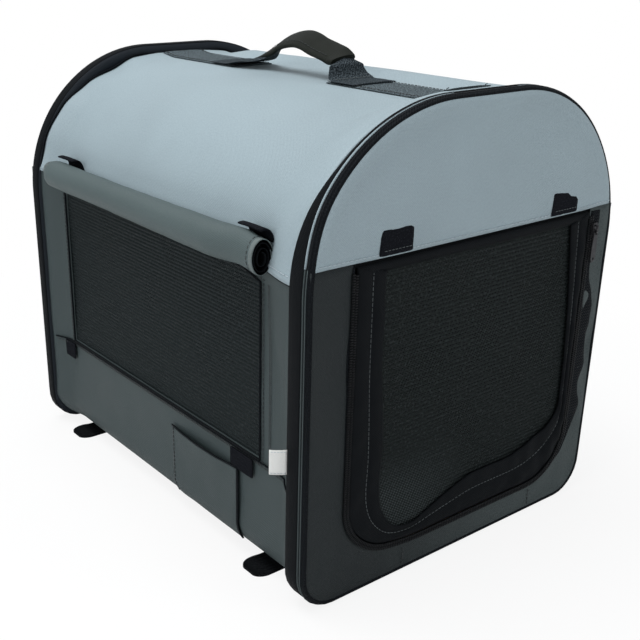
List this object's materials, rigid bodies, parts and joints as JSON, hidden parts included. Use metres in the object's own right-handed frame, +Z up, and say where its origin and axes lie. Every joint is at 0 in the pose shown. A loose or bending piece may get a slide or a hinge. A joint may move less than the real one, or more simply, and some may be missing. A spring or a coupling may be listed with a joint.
{
  "type": "soft folding dog crate",
  "caption": "Soft folding dog crate: fabric tunnel on front and rear steel hoops, zip door with mesh, rolled side window flaps, padded floor and webbing handle.",
  "frame": {"origin": "middle of the footprint, on the floor that the crate stands on", "axes": "+X to the right seen from the front, +Y from the door to the back, +Z up"},
  "size_m": [0.384, 0.4638, 0.4343],
  "materials": {
    "light_fabric": "woven polyester, matt",
    "dark_fabric": "woven polyester, matt",
    "black_fabric": "woven polyester binding",
    "mesh_fabric": "open knitted mesh",
    "webbing": "ribbed webbing and hook-and-loop tape",
    "pad_fabric": "quilted padding",
    "label_fabric": "plain satin tape",
    "board": "hardboard",
    "steel_tube": "drawn steel tube",
    "zip_metal": "black painted zinc",
    "zip_coil": "nylon coil"
  },
  "bodies": {
    "base": {"base_fabric": "dark_fabric", "base_board": "board", "floor_pad": "pad_fabric", "left_wall": "dark_fabric", "left_window_mesh": "mesh_fabric", "right_wall": "dark_fabric", "right_window_mesh": "mesh_fabric", "roof_panel": "light_fabric", "tie_strap_front": "webbing", "tie_strap_rear": "webbing", "left_flap_roll": "dark_fabric", "right_flap_roll": "dark_fabric", "left_patch_front": "webbing", "left_patch_rear": "webbing", "right_patch_front": "webbing", "right_patch_rear": "webbing", "side_pocket": "dark_fabric", "blank_label": "label_fabric", "handle_strap_front": "webbing", "handle_strap_rear": "webbing"},
    "front_frame": {"front_hoop_tube": "steel_tube", "front_hoop_sleeve": "black_fabric", "front_piping": "black_fabric", "front_arch_panel": "light_fabric", "front_surround": "dark_fabric", "frame_zip_teeth": "zip_coil"},
    "rear_frame": {"rear_hoop_tube": "steel_tube", "rear_hoop_sleeve": "black_fabric", "rear_piping": "black_fabric", "rear_arch_panel": "light_fabric", "rear_panel": "dark_fabric", "rear_window_mesh": "mesh_fabric"},
    "door": {"door_border": "black_fabric", "door_mesh": "mesh_fabric", "door_zip_teeth": "zip_coil"},
    "slider": {"zip_slider": "zip_metal"},
    "pull": {"zip_pull": "zip_metal"},
    "front_tab_left_body": {"front_tab_left": "webbing"},
    "front_tab_right_body": {"front_tab_right": "webbing"},
    "left_tab_front_body": {"left_tab_front": "webbing"},
    "left_tab_rear_body": {"left_tab_rear": "webbing"},
    "right_tab_front_body": {"right_tab_front": "webbing"},
    "right_tab_rear_body": {"right_tab_rear": "webbing"},
    "handle": {"handle_loop": "webbing", "handle_grip": "webbing"}
  },
  "joints": [
    {"name": "front_fold", "type": "hinge", "parent": "base", "child": "front_frame", "pos_m": [0, -0.2138, 0.0195], "axis": [-1, 0, 0], "range_deg": [0, 90], "deforming": ["roof_panel", "left_wall", "right_wall", "left_window_mesh", "right_window_mesh", "left_flap_roll", "right_flap_roll", "side_pocket", "blank_label", "left_patch_front", "left_patch_rear", "right_patch_front", "right_patch_rear", "handle_strap_front", "handle_strap_rear", "left_tab_front", "left_tab_rear", "right_tab_front", "right_tab_rear"]},
    {"name": "rear_fold", "type": "hinge", "parent": "base", "child": "rear_frame", "pos_m": [0, 0.2138, 0.028], "axis": [1, 0, 0], "range_deg": [0, 78]},
    {"name": "door_swing", "type": "hinge", "parent": "front_frame", "child": "door", "pos_m": [0, -0.2285, 0.2897], "axis": [1, 0, 0], "range_deg": [-150, 0]},
    {"name": "zip_run", "type": "slide", "parent": "front_frame", "child": "slider", "axis": [0, 0, 1], "range_m": [-0.185, 0]},
    {"name": "pull_swing", "type": "hinge", "parent": "slider", "child": "pull", "pos_m": [0.14929, -0.23325, 0.2722], "axis": [1, 0, 0], "range_deg": [-100, 0]},
    {"name": "handle_tip", "type": "hinge", "parent": "base", "child": "handle", "pos_m": [0, 0, 0.3959], "axis": [0, 1, 0], "range_deg": [-40, 40], "deforming": ["handle_loop"]},
    {"name": "front_tab_left_lift", "type": "hinge", "parent": "front_frame", "child": "front_tab_left_body", "pos_m": [-0.0945, -0.2304, 0.3136], "axis": [-1, 0, 0], "range_deg": [0, 150]},
    {"name": "front_tab_right_lift", "type": "hinge", "parent": "front_frame", "child": "front_tab_right_body", "pos_m": [0.1045, -0.2304, 0.3136], "axis": [-1, 0, 0], "range_deg": [0, 150]},
    {"name": "left_tab_front_lift", "type": "hinge", "parent": "base", "child": "left_tab_front_body", "pos_m": [-0.1589, -0.153, 0.3089], "axis": [0, 1, 0], "range_deg": [0, 90]},
    {"name": "left_tab_rear_lift", "type": "hinge", "parent": "base", "child": "left_tab_rear_body", "pos_m": [-0.1589, 0.152, 0.3089], "axis": [0, 1, 0], "range_deg": [0, 90]},
    {"name": "right_tab_front_lift", "type": "hinge", "parent": "base", "child": "right_tab_front_body", "pos_m": [0.1589, -0.153, 0.3089], "axis": [0, -1, 0], "range_deg": [0, 90]},
    {"name": "right_tab_rear_lift", "type": "hinge", "parent": "base", "child": "right_tab_rear_body", "pos_m": [0.1589, 0.152, 0.3089], "axis": [0, -1, 0], "range_deg": [0, 90]}
  ]
}
